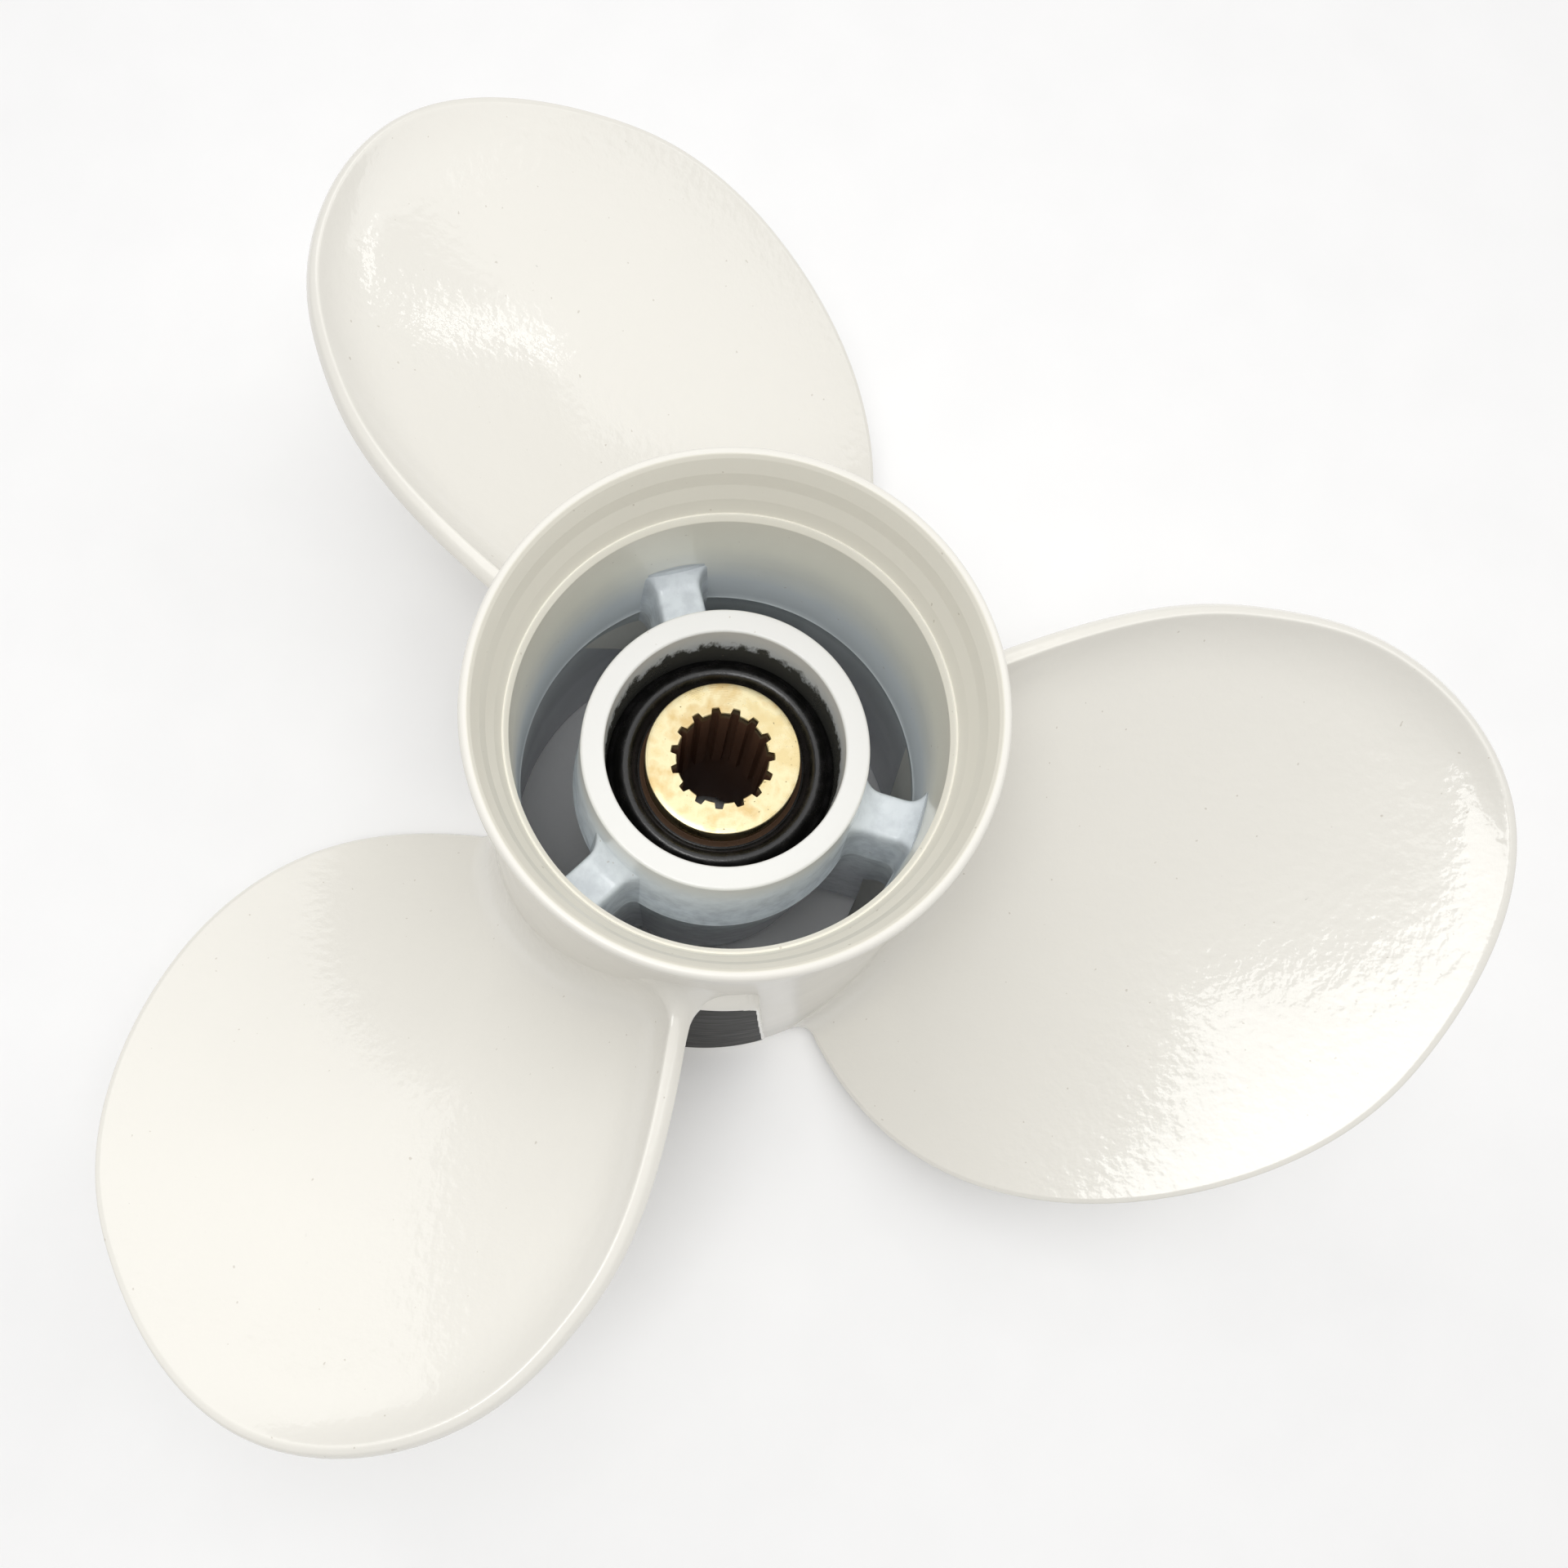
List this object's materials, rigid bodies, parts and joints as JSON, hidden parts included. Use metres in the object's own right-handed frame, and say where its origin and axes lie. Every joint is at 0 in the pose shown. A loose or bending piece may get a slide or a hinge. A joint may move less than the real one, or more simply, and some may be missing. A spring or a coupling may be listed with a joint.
{
  "type": "boat propeller",
  "caption": "Right-hand outboard boat propeller: broad raked blades on an open exhaust hub, with a rubber torsion bush and a splined brass sleeve in its centre.",
  "frame": {"origin": "on the shaft's axis, in the plane of the hub's front end, which the propeller stands on", "axes": "+Z is the shaft's axis and points aft; blade_1's own line is at +X, and blade_2 and blade_3 follow at 120 and 240 degrees about +Z"},
  "size_m": [0.3009, 0.318, 0.1143],
  "materials": {
    "white_paint": "gloss",
    "blade_paint": "gloss",
    "inner_paint": "satin",
    "pad_paint": "satin",
    "black_rubber": "satin",
    "brass": "satin"
  },
  "bodies": {
    "sleeve": {"splined_sleeve": "brass"},
    "bush": {"rubber_bush": "black_rubber"},
    "casting": {"outer_hub": "white_paint", "inner_hub": "inner_paint", "rib_1": "inner_paint", "rib_2": "inner_paint", "rib_3": "inner_paint", "stamping_pad_1": "pad_paint", "stamping_pad_2": "pad_paint", "stamping_pad_3": "pad_paint", "blade_1": "blade_paint", "blade_2": "blade_paint", "blade_3": "blade_paint"}
  },
  "joints": [
    {"name": "bush_torsion", "type": "hinge", "parent": "sleeve", "child": "bush", "pos_m": [0, 0, 0.05], "axis": [0, 0, 1], "range_deg": [-8, 8], "stiffness_Nm_per_rad": 1000},
    {"name": "hub_slip", "type": "hinge", "parent": "bush", "child": "casting", "pos_m": [0, 0, 0.05], "axis": [0, 0, 1], "continuous": true}
  ]
}
